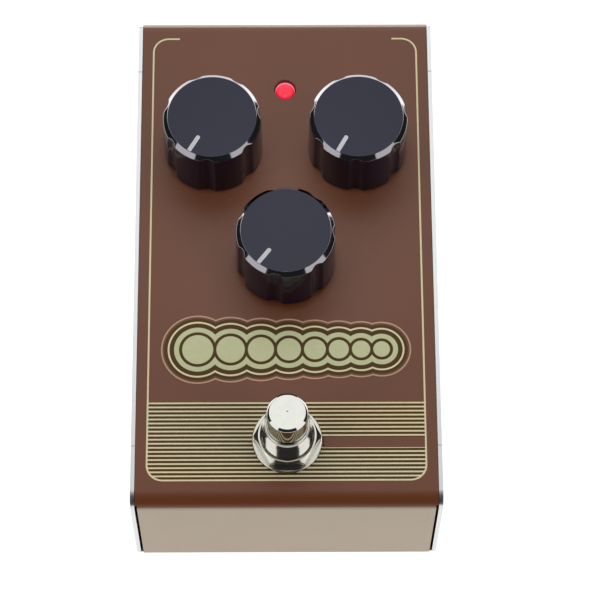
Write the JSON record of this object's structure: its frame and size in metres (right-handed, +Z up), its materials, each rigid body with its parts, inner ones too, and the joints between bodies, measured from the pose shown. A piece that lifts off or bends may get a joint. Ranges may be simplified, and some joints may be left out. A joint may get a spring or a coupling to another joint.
{
  "type": "delay pedal",
  "caption": "Compact stomp-box echo pedal: folded metal case, fluted rotary knobs, a chromed footswitch, an indicator lamp and rear jacks.",
  "frame": {"origin": "middle of the rubber mat's underside, where the pedal rests on the floor", "axes": "+X to the player's right, +Y to the rear wall with the jacks, +Z up through the controls"},
  "size_m": [0.074, 0.132, 0.058],
  "materials": {
    "brown_and_beige_paint": "satin",
    "bare_steel": "satin",
    "black_rubber": "matte",
    "zinc_steel": "satin",
    "nickel_steel": "polished",
    "chrome": "polished",
    "black_plastic": "gloss sides, satin top",
    "pale_plastic": "satin",
    "dark_plastic": "satin",
    "blue_plastic": "satin",
    "tinned_brass": "satin",
    "red_lens": "clear, lit",
    "board_green": "satin",
    "can_sleeve": "gloss",
    "film_box": "gloss",
    "grey_vinyl": "satin"
  },
  "bodies": {
    "case": {"top_cover": "brown_and_beige_paint", "bottom_tray": "bare_steel", "rubber_mat": "black_rubber", "corner_brackets": "zinc_steel", "side_screws": "nickel_steel", "mix_pot": "dark_plastic", "repeats_pot": "dark_plastic", "time_pot": "dark_plastic", "pot_nuts": "nickel_steel", "pot_washers": "nickel_steel", "pot_pins": "tinned_brass", "footswitch_washer": "chrome", "footswitch_nut": "chrome", "footswitch_lock_nut": "nickel_steel", "footswitch_bushing": "chrome", "footswitch_frame": "zinc_steel", "footswitch_case": "blue_plastic", "footswitch_lugs": "tinned_brass", "footswitch_spring": "zinc_steel", "indicator_lens": "red_lens", "indicator_leads": "tinned_brass", "output_jack": "dark_plastic", "input_jack": "dark_plastic", "jack_nuts": "nickel_steel", "jack_washers": "nickel_steel", "jack_pins": "tinned_brass", "power_inlet": "dark_plastic", "power_inlet_pin": "nickel_steel", "main_board": "board_green", "switch_board": "board_green", "delay_chips": "dark_plastic", "electrolytic_capacitors": "can_sleeve", "film_capacitors": "film_box", "voltage_regulator": "dark_plastic", "chip_resistors": "dark_plastic", "ribbon_cable": "grey_vinyl", "ribbon_headers": "pale_plastic"},
    "footswitch": {"footswitch_button": "chrome", "footswitch_clip": "zinc_steel"},
    "mix_control": {"mix_knob": "black_plastic", "mix_pointer": "pale_plastic", "mix_shaft": "zinc_steel"},
    "repeats_control": {"repeats_knob": "black_plastic", "repeats_pointer": "pale_plastic", "repeats_shaft": "zinc_steel"},
    "time_control": {"time_knob": "black_plastic", "time_pointer": "pale_plastic", "time_shaft": "zinc_steel"}
  },
  "joints": [
    {"name": "mix_turn", "type": "hinge", "parent": "case", "child": "mix_control", "pos_m": [-0.01785, 0.02865, 0.05], "axis": [0, 0, 1], "range_deg": [-300, 0]},
    {"name": "repeats_turn", "type": "hinge", "parent": "case", "child": "repeats_control", "pos_m": [0.01785, 0.02865, 0.05], "axis": [0, 0, 1], "range_deg": [-300, 0]},
    {"name": "time_turn", "type": "hinge", "parent": "case", "child": "time_control", "pos_m": [0, -0.0017, 0.05], "axis": [0, 0, 1], "range_deg": [-292, 8]},
    {"name": "footswitch_press", "type": "slide", "parent": "case", "child": "footswitch", "axis": [0, 0, 1], "range_m": [-0.0025, 0], "stiffness_N_per_m": 2000, "springref_m": 0.002, "deforming": ["footswitch_spring"]}
  ]
}
